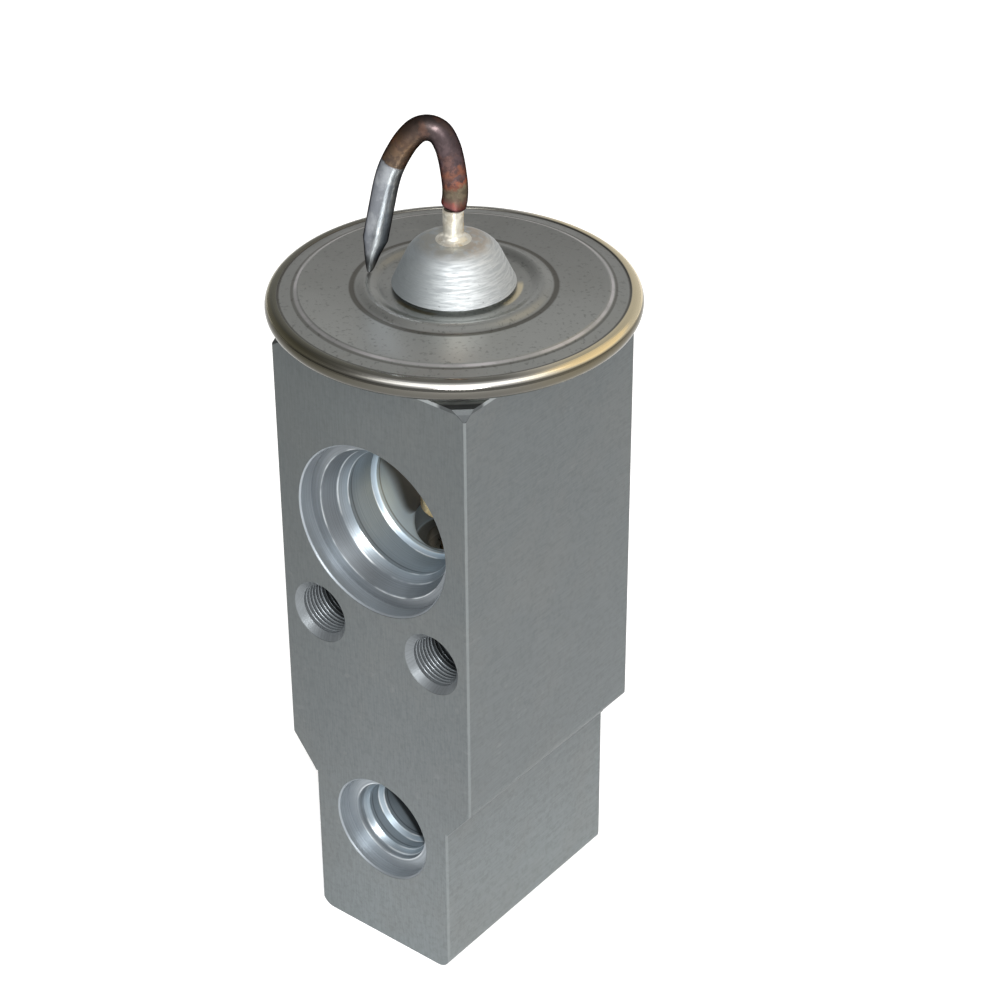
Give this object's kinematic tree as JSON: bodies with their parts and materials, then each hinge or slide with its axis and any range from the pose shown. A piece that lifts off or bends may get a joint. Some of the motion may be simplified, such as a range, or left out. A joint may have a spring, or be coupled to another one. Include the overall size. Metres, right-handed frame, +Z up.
{
  "type": "expansion valve",
  "caption": "Block-type expansion valve with stepped ports in front and back, a round power head on top and a bent, pinched charge tube.",
  "frame": {"origin": "middle of the foot's lower face, under the power head's centre", "axes": "+Z up along the power head's axis, -Y out of the front port face, +X to the right seen from the front"},
  "size_m": [0.04, 0.04, 0.0997],
  "materials": {
    "block_alloy": "extruded and sawn aluminium, satin grey with bright machined ports",
    "cover_steel": "pressed stainless sheet, satin, polished rolled rim",
    "hub_steel": "turned and brushed steel",
    "copper": "oxidised copper tube, tinned pinched end",
    "solder": "tin solder",
    "base_steel": "pressed stainless sheet",
    "diaphragm_steel": "thin bright stainless sheet",
    "stop_steel": "turned steel",
    "seal_rubber": "black rubber",
    "rod_brass": "turned yellow metal",
    "pin_steel": "plain steel",
    "seat_steel": "turned stainless steel",
    "ball_steel": "polished steel ball",
    "carrier_brass": "turned brass",
    "spring_steel": "drawn spring steel",
    "screw_brass": "turned brass"
  },
  "bodies": {
    "valve": {"valve_body": "block_alloy", "power_head_cover": "cover_steel", "charge_hub": "hub_steel", "charge_tube": "copper", "tube_solder": "solder", "power_head_base": "base_steel", "diaphragm": "diaphragm_steel", "power_head_seal": "seal_rubber", "rod_seal": "seal_rubber", "rod_seal_retainer": "pin_steel", "orifice_seat": "seat_steel", "superheat_spring": "spring_steel"},
    "stem": {"diaphragm_stop": "stop_steel", "sensing_rod": "rod_brass", "push_pin": "pin_steel", "valve_ball": "ball_steel", "ball_carrier": "carrier_brass", "steady_ring": "spring_steel"},
    "screw_ring": {"screw_seal": "seal_rubber"},
    "screw": {"adjusting_screw": "screw_brass"}
  },
  "joints": [
    {"name": "stem_slide", "type": "slide", "parent": "valve", "child": "stem", "axis": [0, 0, -1], "range_m": [0, 0.0009], "stiffness_N_per_m": 9500, "springref_m": -0.0016, "deforming": ["superheat_spring"]},
    {"name": "screw_slide", "type": "slide", "parent": "valve", "child": "screw_ring", "axis": [0, 0, 1], "range_m": [-0.001, 0.001], "deforming": ["superheat_spring"]},
    {"name": "screw_turn", "type": "hinge", "parent": "screw_ring", "child": "screw", "pos_m": [0, 0, 0.0045], "axis": [0, 0, 1], "range_deg": [-360, 360]}
  ],
  "couplings": [
    {"joint": "screw_slide", "follows": "screw_turn", "m_per_rad": 0.00015915}
  ]
}
